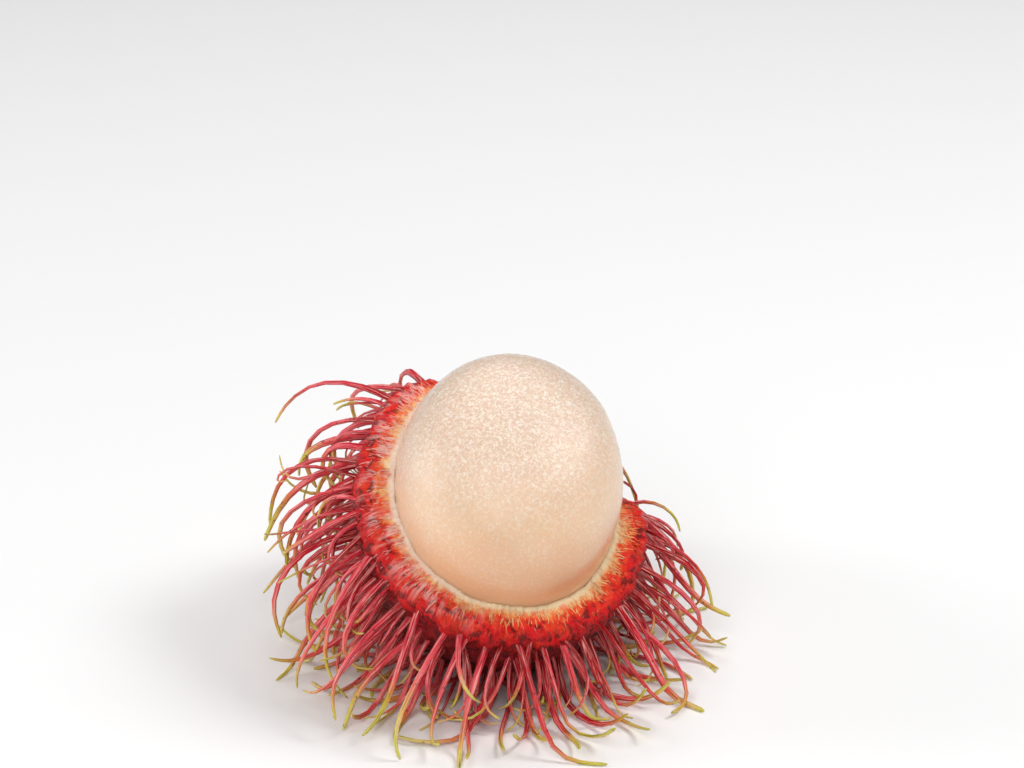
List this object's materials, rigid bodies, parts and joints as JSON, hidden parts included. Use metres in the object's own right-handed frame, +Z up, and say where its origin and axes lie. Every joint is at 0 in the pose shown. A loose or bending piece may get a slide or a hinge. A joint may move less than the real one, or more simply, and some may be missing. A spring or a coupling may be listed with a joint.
{
  "type": "half-peeled rambutan",
  "caption": "Half-peeled rambutan: a cup of red rind with long curling soft spines, and the pale egg-shaped aril standing out of it.",
  "frame": {"origin": "middle of the small flat spot under the rind, which the fruit rests on", "axes": "+Z up; the front of the picture faces -Y; the fruit's own axis leans 28 degrees from upright, forwards and a little to +X"},
  "size_m": [0.0643, 0.0684, 0.0411],
  "materials": {
    "rind": "rough red skin, its spines rose red and going yellow-green at the tips, its torn rim cream to orange",
    "aril": "moist, translucent, creamy white to peach, finely bumpy"
  },
  "bodies": {
    "root": {"rind": "rind", "aril": "aril"}
  },
  "joints": []
}
